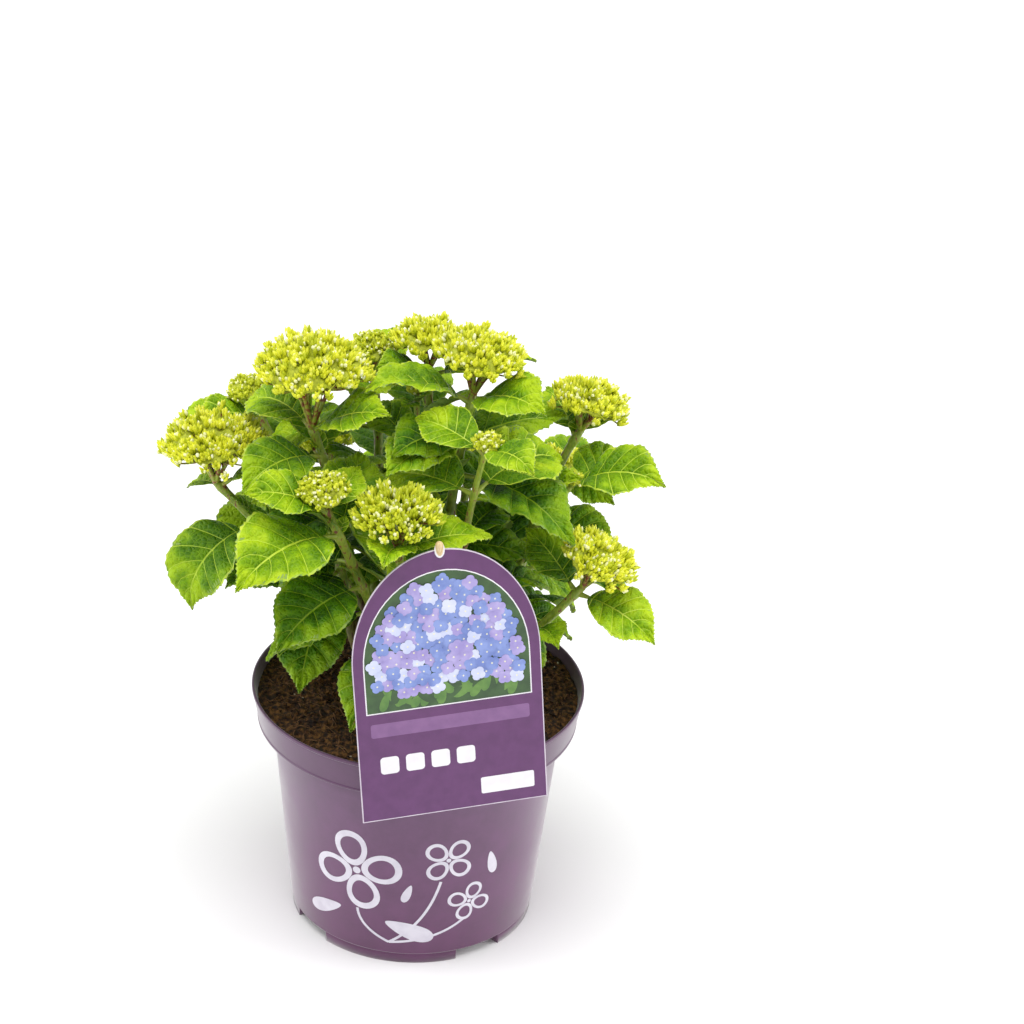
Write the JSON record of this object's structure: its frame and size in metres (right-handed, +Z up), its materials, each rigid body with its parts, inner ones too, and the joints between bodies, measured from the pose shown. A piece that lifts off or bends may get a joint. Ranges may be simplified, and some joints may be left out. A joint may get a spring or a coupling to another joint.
{
  "type": "potted hydrangea shrub",
  "caption": "Young bushy hydrangea with toothed oval leaves and domed yellow-green bud heads, growing in a collared plastic nursery pot with an arch-topped label card on a stick.",
  "frame": {"origin": "the centre of the pot's flat underside, on the surface that the pot stands on", "axes": "+Z up; -Y is the side that the label hangs on; +X is to the right when looking at the label"},
  "size_m": [0.3422, 0.3355, 0.4432],
  "materials": {
    "pot_plastic": "dusty purple moulded polypropylene, satin",
    "compost": "dark crumbly peat compost, matt",
    "woody_stem": "grey-brown bark, matt",
    "green_stem": "green young stems with red-brown flecks, satin",
    "foliage_and_buds": "mid to yellow-green leaves and bud heads, satin",
    "label_card": "glossy printed plastic card, purple",
    "bamboo": "pale split bamboo, matt"
  },
  "bodies": {
    "root": {"pot": "pot_plastic", "compost": "compost", "stool": "woody_stem", "label_card": "label_card", "label_stick": "bamboo", "cane_front": "green_stem", "shoot_front": "foliage_and_buds", "cane_front_left": "green_stem", "shoot_front_left": "foliage_and_buds", "cane_left": "green_stem", "shoot_left": "foliage_and_buds", "cane_top_left": "green_stem", "shoot_top_left": "foliage_and_buds", "cane_top_right": "green_stem", "shoot_top_right": "foliage_and_buds", "cane_top_back": "green_stem", "shoot_top_back": "foliage_and_buds", "cane_right_high": "green_stem", "shoot_right_high": "foliage_and_buds", "cane_right_low": "green_stem", "shoot_right_low": "foliage_and_buds", "cane_right_bud": "green_stem", "shoot_right_bud": "foliage_and_buds", "cane_middle_right": "green_stem", "shoot_middle_right": "foliage_and_buds", "cane_middle": "green_stem", "shoot_middle": "foliage_and_buds", "cane_back_top_left": "green_stem", "shoot_back_top_left": "foliage_and_buds", "cane_back_left": "green_stem", "shoot_back_left": "foliage_and_buds", "cane_back_low_left": "green_stem", "shoot_back_low_left": "foliage_and_buds", "cane_back_low": "green_stem", "shoot_back_low": "foliage_and_buds", "cane_back_low_right": "green_stem", "shoot_back_low_right": "foliage_and_buds"}
  },
  "joints": []
}
